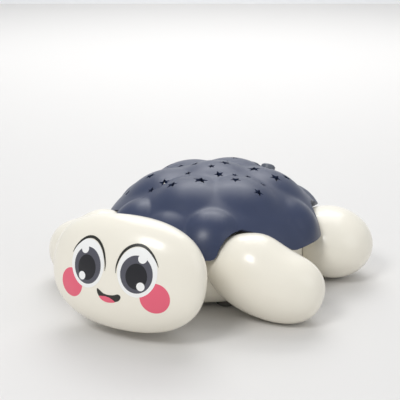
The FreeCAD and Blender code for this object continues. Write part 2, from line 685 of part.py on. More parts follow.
def make_head():
    """The head's face shell, and the rear cover with the neck that is screwed to the body."""
    behind = box("HeadBehind", "%d" % (2 * ROOM), "head_seam_ahead", "%d" % ROOM,
                 vec(0, -size("head_seam_ahead") / 2, 0))
    face = cut("FaceShell", head_blob("FaceOuter", "0"), [head_blob("FaceInner", "head_wall"), behind])
    node(face, "head_shell")
    kept = box("BackKept", "%d" % (2 * ROOM), "head_seam_ahead", "%d" % ROOM,
               vec(0, -size("head_seam_ahead") / 2, 0))
    bowl = common("BackBowl", [head_blob("BackOuter", "0"), kept])
    lip_zone = box("LipZone", "%d" % (2 * ROOM), "2 * head_lip", "%d" % ROOM,
                   vec(0, -size("head_seam_ahead"), 0))
    lip = common("BackLip", [head_blob("LipOuter", "head_wall + fit_gap"), lip_zone])
    neck = neck_tube("NeckOuter", "0", size("torso_length") / 2 - size("casing_wall") * 3)
    solid = fuse("BackSolid", [bowl, lip, neck])
    root = size("torso_length") / 2 + size("limb_root_wall") + size("seat_gap")
    tools = [head_blob("BackInner", "head_wall + fit_gap + casing_wall / 2"),
             neck_tube("NeckInner", "head_wall", root),
             torso_prism("NeckSeat", "0 - seat_gap", "0", "deck_level")]
    for i, place in enumerate(neck_screws()):
        start = place + vec(0, size("casing_wall"), 0)
        tools.append(cylinder("NeckPilot%d" % i, "screw_radius + fit_gap", "4 * casing_wall",
                              placed(start, FreeCAD.Rotation(UP, vec(0, -1, 0)))))
    node(cut("BackCover", solid, tools), "head_back_cover")


def neck_tube(name, inset, end_ahead):
    """An oval bar along Y from the head's middle back to a place ahead of the shell's centre."""
    section = doc.addObject("Part::Ellipse", name + "_section")
    bind(section, MajorRadius="neck_width / 2 - ( %s )" % inset, MinorRadius="neck_tall / 2 - ( %s )" % inset)
    section.Placement = placed(vec(0, -size("head_seam_ahead"), size("neck_level")),
                               FreeCAD.Rotation(vec(1, 0, 0), 90))
    bar = doc.addObject("Part::Extrusion", name)
    bar.Base = section
    bar.DirMode = "Custom"
    bar.Dir = vec(0, 1, 0)
    bar.Solid = True
    bar.LengthFwd = size("head_seam_ahead") - end_ahead
    return bar


def make_limbs(kind):
    """A hollow flipper whose root wall lies along the body, and its mirror image."""
    side = 1
    name = "%s_flipper_left" % kind
    outer = limb_blob(kind, side, "outer", "0")
    inner = limb_blob(kind, side, "inner", "limb_wall")
    root = torso_prism(name + "_root", "0 - seat_gap - limb_root_wall", "0", "deck_level + deck_level")
    hollow = cut(name + "_hollow", inner, [root])
    body = torso_prism(name + "_seat", "0 - seat_gap", "0", "deck_level + deck_level")
    tools = [hollow, body]
    for storey, level in LIMB_SCREW_LEVELS.items():
        point, out = limb_screw(kind, side, level)
        tools.append(cylinder("%s_%s_pilot" % (name, storey), "screw_radius + fit_gap", SHANK,
                              placed(point, FreeCAD.Rotation(UP, out))))
    left = node(cut(name, outer, tools), name)
    right = doc.addObject("Part::Mirroring", "%s_flipper_right" % kind)
    right.Source = left
    right.Normal = vec(1, 0, 0)
    node(right, "%s_flipper_right" % kind)


def screw_form(name, shank):
    """A pan-head screw: its head's underside at the origin, its shank going up."""
    top = "0 - screw_head_height"
    corners = [("0", top), ("screw_head_radius - screw_head_edge", top),
               ("screw_head_radius", top + " + screw_head_edge"), ("screw_head_radius", "0"),
               ("screw_radius", "0"), ("screw_radius", shank), ("0", shank)]
    return turned(name, corners)


def make_fixings():
    """Every screw of the body, in groups that share a job."""
    case_level = size("split_level") - size("pilot_depth")
    case_form = screw_form("CaseScrew", "2 * pilot_depth - screw_tip_room")
    places = [placed(p) for p in four(size("case_post_side"), size("case_post_along"), case_level)]
    group("casing_screws", copies(case_form, places))
    shell_form = screw_form("ShellScrew", "pilot_depth + deck_thickness - screw_tip_room")
    places = [placed(p - UP * size("deck_thickness")) for p in shell_posts()]
    group("shell_screws", copies(shell_form, places))
    limb_form = screw_form("LimbScrew", SHANK + " - seat_gap")
    places = []
    for kind, side in LIMBS:
        for level in LIMB_SCREW_LEVELS.values():
            point, out = limb_screw(kind, side, level)
            start = point - out * (size("casing_wall") + size("seat_gap"))
            places.append(placed(start, FreeCAD.Rotation(UP, out)))
    group("flipper_screws", copies(limb_form, places))
    inward = vec(0, size("casing_wall") + 3 * size("seat_gap"), 0)
    places = [placed(p + inward, FreeCAD.Rotation(UP, vec(0, -1, 0))) for p in neck_screws()]
    group("neck_screws", copies(limb_form, places))
    door_form = screw_form("DoorScrew", "door_thickness / 2 + pilot_depth - screw_tip_room")
    level = size("base_level") + size("door_thickness") / 2
    places = [placed(vec(side * door_screw_side(), 0, level)) for side in (-1, 1)]
    group("battery_door_screws", copies(door_form, places))
    board_form = screw_form("BoardScrew", "light_post_height")
    top = UP * (size("light_post_height") + size("board_thickness"))
    places = [placed(light_post(i) + top, FreeCAD.Rotation(UP, -UP)) for i in range(3)]
    for side in (-1, 1):
        foot = along_buttons(side * KEY_POST_ACROSS, KEYBOARD_TOP + size("board_thickness"))
        places.append(placed(foot, BUTTON_TURN))
    group("board_screws", copies(board_form, places))


def make_light():
    """The light board on its posts, its LEDs and the cup that shapes their beam."""
    level = size("deck_level") + size("light_post_height")
    disc = cylinder("LightDisc", "light_board_radius", "board_thickness", placed(vec(0, 0, level)))
    bores = []
    for i in range(3):
        bores.append(cylinder("LightBore%d" % i, "screw_radius + fit_gap", "3 * board_thickness",
                              placed(light_post(i) + UP * (size("light_post_height") - size("board_thickness")))))
    node(cut("LightBoard", disc, bores), "light_board")
    top = level + size("board_thickness")
    corners = [("0", "0"), ("led_radius + led_flange", "0"), ("led_radius + led_flange", "led_flange_height"),
               ("led_radius", "led_flange_height")]
    for angle in (0, 30, 60):
        across = math.cos(math.radians(angle))
        up = math.sin(math.radians(angle))
        corners.append(("led_radius * %.4f" % across, "led_height - led_radius * %.4f" % (1 - up)))
    led = turned("LedForm", corners + [("0", "led_height")])
    spots = []
    for i in range(4):
        angle = math.radians(45 + 90 * i)
        spots.append(placed(vec(size("led_spread") * math.cos(angle), size("led_spread") * math.sin(angle), top)))
    group("star_leds", copies(led, spots))
    cup = turned("LightCup", [("cup_floor_radius", "0"), ("cup_floor_radius + cup_wall", "0"),
                              ("cup_mouth_radius + cup_wall", "cup_height"), ("cup_mouth_radius", "cup_height")])
    cup.Placement = placed(vec(0, 0, top))
    node(cup, "light_cup")


def make_controls():
    """Three push buttons in the tail of the shell, the switches under them and their board."""
    corners = [("0", "0"), ("button_stem_radius", "0"), ("button_stem_radius", "%r - button_lip" % LIP_TOP),
               ("button_radius + button_lip", "%r - button_lip" % LIP_TOP),
               ("button_radius + button_lip", "%r" % LIP_TOP), ("button_radius", "%r" % LIP_TOP),
               ("button_radius", "button_depth - button_edge"), ("button_radius - button_edge", "button_depth"),
               ("0", "button_depth")]
    for label, offset in zip(BUTTON_NAMES, button_offsets()):
        button = turned(label + "_body", corners)
        button.Placement = placed(along_buttons(offset, STEM_END), BUTTON_TURN)
        node(button, label)
    board = plate("ControlBoard", "keyboard_length / 2", "keyboard_width / 2", "board_thickness")
    board.Placement = placed(along_buttons(0, KEYBOARD_TOP + size("board_thickness")), BUTTON_TURN)
    bores = []
    for i, side in enumerate((-1, 1)):
        foot = along_buttons(side * KEY_POST_ACROSS, KEYBOARD_TOP + 2 * size("board_thickness"))
        bores.append(cylinder("KeyBore%d" % i, "screw_radius + fit_gap", "3 * board_thickness",
                              placed(foot, BUTTON_TURN)))
    node(cut("ControlBoardBored", board, bores), "control_board")
    case = plate("SwitchCase", "switch_side / 2", "switch_side / 2", "switch_height")
    plunger = cylinder("SwitchPlunger", "plunger_radius", "plunger_height", placed(UP * size("switch_height")))
    switch = fuse("SwitchForm", [case, plunger])
    places = [placed(along_buttons(offset, KEYBOARD_TOP), BUTTON_TURN) for offset in button_offsets()]
    group("push_switches", copies(switch, places))


def make_power():
    """The slide switch behind the base and the knob that moves in its well."""
    seat = size("base_level") + size("well_depth") + size("casing_wall")
    spot = vec(0, size("power_back"), seat)
    can = box("PowerCan", "power_length", "power_width", "power_height", spot)
    room = box("PowerRoom", "power_length - 2 * power_wall", "power_width - 2 * power_wall",
               "power_height - power_wall", spot)
    node(cut("PowerSwitch", can, [room]), "power_switch")
    start = spot + vec(-size("knob_travel") / 2, 0, 0)
    slider = box("KnobSlider", "knob_length + 2 * power_wall", "power_width - 2 * power_wall - 2 * slide_gap",
                 "power_height - power_wall - 2 * slide_gap", start + UP * size("slide_gap"))
    stem = box("KnobStem", "knob_length", "knob_width", "casing_wall + knob_reach + 2 * slide_gap",
               start - UP * (size("casing_wall") + size("knob_reach")))
    node(fuse("PowerKnob", [slider, stem]), "power_knob")


SPRING_TURNS = 3


def spring_coil(length):
    """A coil spring of some length, its lowest wire's middle at the origin: half rings that each climb a step."""
    wire = size("wire_radius")
    radius = size("spring_radius")
    step = (length - 2 * wire) / (2 * SPRING_TURNS)
    tilt = math.degrees(math.atan2(step / 2, radius))
    halves = []
    for i in range(2 * SPRING_TURNS):
        side = 1 if i % 2 == 0 else -1
        half = Part.makeTorus(math.hypot(radius, step / 2), wire, vec(0, 0, 0), UP, 0, 360, 180)
        turn = FreeCAD.Rotation(UP, 0 if side > 0 else 180)
        half.Placement = placed(UP * ((i + 0.5) * step), FreeCAD.Rotation(vec(0, 1, 0), side * tilt) * turn)
        halves.append(half)
    return halves[0].multiFuse(halves[1:])


def make_battery():
    """The three cells, their springs and contact plates, and the door."""
    bottom = size("base_level") + size("door_thickness")
    axis_level = bottom + size("cell_radius") + size("seat_gap")
    inside = number(BAY_INSIDE[0])
    shoulder = "cell_length - nub_height"
    corners = [("0", "0"), ("cell_radius", "0"), ("cell_radius", shoulder), ("nub_radius", shoulder),
               ("nub_radius", "cell_length"), ("0", "cell_length")]
    cell = turned("CellForm", corners)
    rows = [(i - 1) * size("cell_pitch") for i in range(3)]
    far = inside / 2 - size("contact_thickness")
    wire = size("wire_radius")
    coil = spring_coil(2 * far - size("cell_length"))
    places = []
    springs = []
    for i, row in enumerate(rows):
        way = 1 if i % 2 == 0 else -1
        out = FreeCAD.Rotation(UP, vec(way, 0, 0))
        places.append(placed(vec(way * (far - size("cell_length")), row, axis_level), out))
        spring = coil.copy()
        spring.Placement = placed(vec(way * (wire - far), row, axis_level), out)
        springs.append(spring)
    group("batteries", copies(cell, places))
    group("contact_springs", springs)
    tab = plate("ContactForm", "contact_side / 2", "contact_side / 2", "contact_thickness")
    places = []
    for side in (-1, 1):
        for row in rows:
            places.append(placed(vec(side * far, row, axis_level), FreeCAD.Rotation(UP, vec(side, 0, 0))))
    group("contact_plates", copies(tab, places))
    lid = box("DoorPlate", *DOOR, "door_thickness", vec(0, 0, size("base_level")))
    tools = []
    for i, side in enumerate((-1, 1)):
        spot = vec(side * door_screw_side(), 0, size("base_level"))
        tools.append(cylinder("DoorBore%d" % i, "screw_radius + fit_gap", "door_thickness", placed(spot)))
        tools.append(cylinder("DoorSink%d" % i, "screw_head_radius + slide_gap", "door_thickness / 2", placed(spot)))
    node(cut("BatteryDoor", lid, tools), "battery_door")


def make_feet():
    """Four rubber feet pressed into their recesses: the projector stands on them."""
    top = "base_level + foot_recess"
    foot = turned("FootForm", [("0", "0"), ("foot_radius - foot_edge", "0"), ("foot_radius", "foot_edge"),
                               ("foot_radius", top), ("0", top)])
    group("rubber_feet", copies(foot, [placed(p) for p in four(size("foot_side"), size("foot_along"), 0)]))


def check_all():
    """Stop if any object has failed, or any piece is empty or not a sound solid."""
    doc.recompute()
    failed = [thing.Name for thing in doc.Objects if "Invalid" in thing.State or "Error" in thing.State]
    for piece in NODES:
        if piece.Shape.isNull() or not piece.Shape.isValid() or not piece.Shape.Solids:
            failed.append(piece.Label)
    if failed:
        raise RuntimeError("these failed: %s" % ", ".join(failed))


ARCHES = arch_tool()
make_shell()
make_liner()
make_upper_casing()
make_lower_casing()
make_head()
make_limbs("front")
make_limbs("hind")
make_light()
make_controls()
make_power()
make_battery()
make_feet()
make_fixings()
check_all()

os.makedirs("parts", exist_ok=True)
for piece in NODES:
    piece.Shape.exportStep("parts/%s.step" % piece.Label)
    print(piece.Label, len(piece.Shape.Solids), round(piece.Shape.Volume, 1))
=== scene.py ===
import logging
import math
from dataclasses import dataclass
from enum import Enum

import bmesh
import bpy
import numpy as np
from mathutils import Matrix, Vector


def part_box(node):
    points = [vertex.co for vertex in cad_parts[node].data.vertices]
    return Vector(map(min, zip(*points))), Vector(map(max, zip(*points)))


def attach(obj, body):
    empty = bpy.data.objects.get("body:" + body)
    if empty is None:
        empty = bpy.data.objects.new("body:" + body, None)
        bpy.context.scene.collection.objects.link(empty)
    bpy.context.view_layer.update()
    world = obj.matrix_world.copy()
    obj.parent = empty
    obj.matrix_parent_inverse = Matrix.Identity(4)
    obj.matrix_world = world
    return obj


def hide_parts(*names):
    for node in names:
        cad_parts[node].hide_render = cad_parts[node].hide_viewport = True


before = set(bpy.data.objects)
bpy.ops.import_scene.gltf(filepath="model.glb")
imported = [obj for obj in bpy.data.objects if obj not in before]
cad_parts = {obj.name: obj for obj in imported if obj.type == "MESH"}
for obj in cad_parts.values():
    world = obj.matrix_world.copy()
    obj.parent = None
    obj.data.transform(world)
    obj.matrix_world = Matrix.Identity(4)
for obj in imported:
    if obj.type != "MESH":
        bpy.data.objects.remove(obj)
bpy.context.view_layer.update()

# A turtle night light dressed for the photograph: the navy shell, cream body and printed face are modelled here
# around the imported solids; boards, cells, screws and casings keep their solids and get real finishes.
log = logging.getLogger("star_projector")

Point = tuple[float, float, float]
Flat = tuple[float, float]
MM = 0.001

# What all the finishes share: the width of the colour's mottle, how far the gloss wanders, the depth of the
# grain, the gloss of a clear coat and how solid a clear piece looks.
MOTTLE_MM = 14.0
GLOSS_SPREAD = 0.08
RELIEF_STRENGTH = 0.35
COAT_ROUGHNESS = 0.08
CLEAR_ALPHA = 0.25


def mm(*values: float) -> Vector:
    """Turn millimetres into a vector in metres."""
    return Vector([value * MM for value in values])


def linear(code: str) -> tuple[float, float, float, float]:
    """Turn an sRGB hex colour into linear red, green, blue and alpha.

    Args:
        code: six hex digits, such as "E8E2D4".

    Returns:
        The colour that Blender's sockets expect.
    """
    parts = [int(code[i:i + 2], 16) / 255 for i in (0, 2, 4)]
    red, green, blue = [p / 12.92 if p <= 0.04045 else ((p + 0.055) / 1.055) ** 2.4 for p in parts]
    return red, green, blue, 1.0


def add_node(tree: bpy.types.NodeTree, kind: str, settings: dict | None = None,
             links: dict | None = None) -> bpy.types.Node:
    """Add one node with its settings, its socket values and the links into it.

    Args:
        tree: the node tree that gets the node.
        kind: the node's class name.
        settings: attributes and socket values by name.
        links: input socket name to the output socket that feeds it.

    Returns:
        The new node.
    """
    node = tree.nodes.new(kind)
    for name, value in (settings or {}).items():
        if name in node.inputs:
            node.inputs[name].default_value = value
        else:
            setattr(node, name, value)
    for name, source in (links or {}).items():
        tree.links.new(source, node.inputs[name])
    return node


class Surface(Enum):
    """How a surface came out of its tool."""

    MOULDED = "moulded"
    SPARKED = "sparked"
    PRINTED = "printed"
    METAL = "metal"
    CLEAR = "clear"


@dataclass(frozen=True)
class Finish:
    """One material: what it is, its colours and what its surface does to light."""

    name: str
    surface: Surface
    colour: str
    tint: str
    roughness: float
    grain_mm: float = 0.8
    relief_mm: float = 0.01
    coat: float = 0.0
    ior: float = 1.5

    def material(self) -> bpy.types.Material:
        """Build the material, or give back the one already built."""
        material = bpy.data.materials.get(self.name)
        if material is not None:
            return material
        material = bpy.data.materials.new(self.name)
        material.use_nodes = True
        tree = material.node_tree
        tree.nodes.clear()
        place = add_node(tree, "ShaderNodeTexCoord").outputs["Object"]
        mottle = self.noise(tree, place, MOTTLE_MM)
        ramp = add_node(tree, "ShaderNodeMix", {"data_type": "RGBA"}, {"Factor": mottle})
        ramp.inputs["A"].default_value = linear(self.colour)
        ramp.inputs["B"].default_value = linear(self.tint)
        grain = self.noise(tree, place, self.grain_mm)
        spread = {"From Min": 0.3, "From Max": 0.7,
                  "To Min": self.roughness * (1 - GLOSS_SPREAD), "To Max": self.roughness * (1 + GLOSS_SPREAD)}
        gloss = add_node(tree, "ShaderNodeMapRange", spread, {"Value": grain})
        relief = {"Strength": RELIEF_STRENGTH, "Distance": self.relief_mm * MM}
        bump = add_node(tree, "ShaderNodeBump", relief, {"Height": grain})
        shader = add_node(tree, "ShaderNodeBsdfPrincipled",
                          {"IOR": self.ior, "Coat Weight": self.coat, "Coat Roughness": COAT_ROUGHNESS},
                          {"Base Color": ramp.outputs[2], "Roughness": gloss.outputs["Result"],
                           "Normal": bump.outputs["Normal"]})
        if self.surface is Surface.METAL:
            shader.inputs["Metallic"].default_value = 1.0
        if self.surface is Surface.CLEAR:
            shader.inputs["Transmission Weight"].default_value = 1.0
            shader.inputs["Alpha"].default_value = CLEAR_ALPHA
        add_node(tree, "ShaderNodeOutputMaterial", None, {"Surface": shader.outputs["BSDF"]})
        return material

    def noise(self, tree: bpy.types.NodeTree, place: bpy.types.NodeSocket,
              period_mm: float) -> bpy.types.NodeSocket:
        """Add a noise whose lumps are a period wide, in millimetres, and give its output."""
        settings = {"Scale": 1.0 / (period_mm * MM), "Detail": 2.0, "Roughness": 0.5}
        return add_node(tree, "ShaderNodeTexNoise", settings, {"Vector": place}).outputs["Fac"]


# Spark-eroded satin ABS, coloured through: soft broad highlights and a fine even grain.
NAVY_ABS = Finish("Satin ABS navy", Surface.SPARKED, "2D3752", "313B58", 0.36, 0.55, 0.02)
# Polished ABS, coloured through: a clear window highlight over a slightly uneven skin.
CREAM_ABS = Finish("Gloss ABS cream", Surface.MOULDED, "F3EEE0", "F0EADC", 0.24, 2.4, 0.012, coat=0.1)
# Pad-printed inks lie in a thin film with a gloss like the plastic under them.
INK_WHITE = Finish("Pad-print ink white", Surface.PRINTED, "F6F6F4", "F3F3F1", 0.3, 0.5, 0.002)
INK_GREY = Finish("Pad-print ink slate", Surface.PRINTED, "55555E", "50505A", 0.3, 0.5, 0.002)
INK_BLACK = Finish("Pad-print ink black", Surface.PRINTED, "1D1D22", "1A1A1F", 0.3, 0.5, 0.002)
INK_LINE = Finish("Pad-print ink warm black", Surface.PRINTED, "22221D", "262620", 0.3, 0.5, 0.002)
INK_PINK = Finish("Pad-print ink pink", Surface.PRINTED, "E9647B", "E76078", 0.3, 0.5, 0.002)
# Satin ABS of the push buttons: slate grey, as the bits are that show past the shell's outline.
BUTTON_ABS = Finish("Satin ABS slate grey", Surface.SPARKED, "666B76", "626772", 0.4, 0.5, 0.01)
# Moulded rubber feet: dark, dull and slightly dusty.
FOOT_RUBBER = Finish("Moulded rubber", Surface.SPARKED, "55534F", "5E5C58", 0.8, 0.9, 0.03)
# Solder mask over glass-fibre board: deep green and glossy.
BOARD_GREEN = Finish("Solder mask green", Surface.MOULDED, "1E5A35", "1A5030", 0.32, 0.6, 0.01)
# Epoxy LED lenses: water clear.
LED_EPOXY = Finish("Epoxy lens", Surface.CLEAR, "F4F4EE", "F0F0EA", 0.08, 2.0, 0.001)
# Polycarbonate liner: thin, clear and smooth.
CLEAR_PC = Finish("Clear polycarbonate", Surface.CLEAR, "DDE3EA", "D8DEE6", 0.1, 3.0, 0.001, ior=1.58)
# Matt black ABS and nylon: they swallow stray light.
BLACK_ABS = Finish("Matt ABS black", Surface.SPARKED, "17181B", "1C1D20", 0.6, 0.5, 0.02)
BLACK_NYLON = Finish("Moulded nylon black", Surface.SPARKED, "1C1C1E", "232325", 0.5, 0.6, 0.02)
# Tinned and nickel-plated steel: bright, with faint rolling marks.
TINNED_STEEL = Finish("Tinned steel", Surface.METAL, "B9BBBC", "ADAFB0", 0.32, 0.4, 0.01)
NICKEL = Finish("Nickel-plated steel", Surface.METAL, "C9C5BC", "BDB9B0", 0.24, 0.4, 0.01)
ZINC = Finish("Zinc-plated steel", Surface.METAL, "A9ADB2", "9DA2A8", 0.36, 0.4, 0.02)
# Shrink jacket of a cell: glossy plastic film.
CELL_JACKET = Finish("Shrink film green", Surface.MOULDED, "2F6B4F", "2B6449", 0.28, 2.0, 0.004)

NODE_FINISHES = {
    CREAM_ABS: ["upper_casing", "lower_casing", "head_back_cover", "battery_door"],
    CLEAR_PC: ["dust_liner"],
    BOARD_GREEN: ["light_board", "control_board"],
    LED_EPOXY: ["star_leds"],
    BLACK_ABS: ["light_cup"],
    BUTTON_ABS: ["timer_button", "light_button", "colour_button"],
    BLACK_NYLON: ["push_switches", "power_knob"],
    TINNED_STEEL: ["power_switch"],
    CELL_JACKET: ["batteries"],
    NICKEL: ["contact_springs", "contact_plates"],
    FOOT_RUBBER: ["rubber_feet"],
    ZINC: ["casing_screws", "shell_screws", "flipper_screws", "neck_screws", "battery_door_screws",
           "board_screws"],
}


def deselect() -> None:
    """Clear the selection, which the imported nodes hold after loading."""
    if bpy.context.object is not None and bpy.context.object.mode != "OBJECT":
        bpy.ops.object.mode_set(mode="OBJECT")
    bpy.ops.object.select_all(action="DESELECT")


def made(name: str) -> bpy.types.Object:
    """Name the object that an operator has just added, with its place put into its mesh."""
    piece = bpy.context.object
    piece.name = name
    piece.data.name = name
    bpy.ops.object.transform_apply(location=True, rotation=True, scale=True)
    return piece


def coordinates(piece: bpy.types.Object) -> np.ndarray:
    """Read a mesh's points as an array of rows, in millimetres."""
    flat = np.zeros(len(piece.data.vertices) * 3)
    piece.data.vertices.foreach_get("co", flat)
    return flat.reshape(-1, 3) / MM


def set_coordinates(piece: bpy.types.Object, points: np.ndarray) -> None:
    """Write a mesh's points back, from millimetres."""
    piece.data.vertices.foreach_set("co", (points * MM).ravel())
    piece.data.update()


def apply_modifier(piece: bpy.types.Object, kind: str, **settings: object) -> None:
    """Add one modifier, set it up and apply it.

    Args:
        piece: the object to change.
        kind: the modifier's type.
        settings: attributes of the modifier.
    """
    deselect()
    piece.select_set(True)
    bpy.context.view_layer.objects.active = piece
    modifier = piece.modifiers.new(kind.title(), kind)
    for name, value in settings.items():
        setattr(modifier, name, value)
    bpy.ops.object.modifier_apply(modifier=modifier.name)


def joined(parts: list[bpy.types.Object]) -> bpy.types.Object:
    """Join several tools into the first of them."""
    deselect()
    for part in parts:
        part.select_set(True)
    bpy.context.view_layer.objects.active = parts[0]
    bpy.ops.object.join()
    return parts[0]


def cut_away(piece: bpy.types.Object, tool: bpy.types.Object, operation: str = "DIFFERENCE") -> None:
    """Apply a boolean with a tool and remove the tool."""
    apply_modifier(piece, "BOOLEAN", operation=operation, object=tool, solver="EXACT")
    bpy.data.objects.remove(tool)


def tidy(piece: bpy.types.Object, smooth_degrees: float = 35.0) -> None:
    """Merge doubles, turn the faces outwards and shade the piece smooth up to an angle."""
    deselect()
    piece.select_set(True)
    bpy.context.view_layer.objects.active = piece
    bpy.ops.object.mode_set(mode="EDIT")
    bpy.ops.mesh.select_all(action="SELECT")
    bpy.ops.mesh.remove_doubles(threshold=0.00001)
    bpy.ops.mesh.normals_make_consistent(inside=False)
    bpy.ops.object.mode_set(mode="OBJECT")
    bpy.ops.object.shade_smooth_by_angle(angle=math.radians(smooth_degrees))


def dress(piece: bpy.types.Object, finish: Finish, body: str, slot: str, *nodes: str) -> bpy.types.Object:
    """Give a piece its finish and the body it rides on, and hide the nodes that it stands for; the slot is not
    used.
    """
    piece.data.materials.clear()
    piece.data.materials.append(finish.material())
    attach(piece, body)
    if nodes:
        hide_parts(*nodes)
    log.info("%s: %d faces", piece.name, len(piece.data.polygons))
    return piece


@dataclass
class Blob:
    """A rounded body: a superellipsoid whose back half may be deeper than its front half, in millimetres."""

    centre: Point
    half: Point
    back_half: float
    plan_power: float = 2.0
    side_power: float = 2.0
    yaw: float = 0.0
    dip: float = 0.0
    pitch: float = 0.0
    tip_power: float = 2.0
    root_taper: float = 0.0
    top_dent: float = 0.0
    dent_place: float = 12.0
    dent_width: float = 13.0
    shoulder_lift: float = 0.0
    shoulder_place: float = -10.0
    shoulder_width: float = 11.0
    lowest: float = 0.05

    def turn(self) -> np.ndarray:
        """Give the rotation from the blob's own axes to the frame's."""
        spin = Matrix.Rotation(math.radians(self.yaw), 3, "Z") @ Matrix.Rotation(math.radians(self.dip), 3, "Y")
        return np.array(spin @ Matrix.Rotation(math.radians(self.pitch), 3, "X"))

    def size_at(self, local: np.ndarray) -> np.ndarray:
        """Give each local point's size against the surface: 1 lies on it."""
        depth = np.where(local[:, 1] < 0, self.half[1], self.back_half)
        plan = (np.abs(local[:, 0] / self.half[0]) ** self.plan_power
                + np.abs(local[:, 1] / depth) ** self.plan_power)
        tall = np.abs(local[:, 2] / self.half[2]) ** self.side_power
        return (plan ** (self.side_power / self.plan_power) + tall) ** (1 / self.side_power)

    def mesh(self, name: str, segments: int = 128, rings: int = 80) -> bpy.types.Object:
        """Model the blob from a ball whose points are pushed out to the rounded surface."""
        deselect()
        bpy.ops.mesh.primitive_uv_sphere_add(segments=segments, ring_count=rings, radius=1.0)
        piece = made(name)
        local = coordinates(piece) * MM * np.array(self.half)
        local = self.trimmed(local / self.size_at(local)[:, None])
        placed = local @ self.turn().T + np.array(self.centre)
        placed[:, 2] = np.maximum(placed[:, 2], self.lowest)
        set_coordinates(piece, placed)
        return piece

    def trimmed(self, local: np.ndarray) -> np.ndarray:
        """Fill the tip out, draw the root in, raise the shoulder and hollow the top, as the sizes say."""
        along = local[:, 0] / self.half[0]
        across = np.clip(1 - np.abs(along) ** 2, 1e-9, None)
        fuller = np.clip(1 - np.abs(along) ** self.tip_power, 0, None) ** (1 / self.tip_power) / across ** 0.5
        girth = np.where(along > 0, np.minimum(fuller, 3.0), 1 - self.root_taper * along ** 2)
        shaped = local * np.stack([np.ones(len(local)), girth, girth], 1)
        share = np.clip(shaped[:, 2] / self.half[2], 0, 1)
        hollow = np.exp(-((shaped[:, 0] - self.dent_place) / self.dent_width) ** 2)
        shoulder = np.exp(-((shaped[:, 0] - self.shoulder_place) / self.shoulder_width) ** 2)
        shaped[:, 2] += share * (self.shoulder_lift * shoulder - self.top_dent * hollow)
        return shaped

    def front_depth(self, across: np.ndarray, up: np.ndarray) -> np.ndarray:
        """Give how far the front surface stands forward of the middle at places of the face."""
        tall = np.abs(up / self.half[2]) ** self.side_power
        plan = np.clip(1 - tall, 0, None) ** (self.plan_power / self.side_power)
        return self.half[1] * np.clip(plan - np.abs(across / self.half[0]) ** self.plan_power, 0, None) ** (
            1 / self.plan_power)


# The three rounded bodies, fitted to the photograph's outlines.
HEAD = Blob(centre=(0.0, -108.9, 37.4), half=(50.0, 17.85, 32.9), back_half=27.0, plan_power=1.9, side_power=2.4,
            pitch=-11.0)
FRONT_FLIPPER = Blob(centre=(59.5, -51.0, 25.6), half=(37.7, 21.65, 23.95), back_half=21.65, yaw=6.7, dip=15.8,
                     tip_power=2.35, top_dent=2.2, shoulder_lift=1.6)
HIND_FLIPPER = Blob(centre=(67.8, 38.3, 23.6), half=(29.4, 28.6, 23.1), back_half=28.6, yaw=-37.0, dip=8.8)


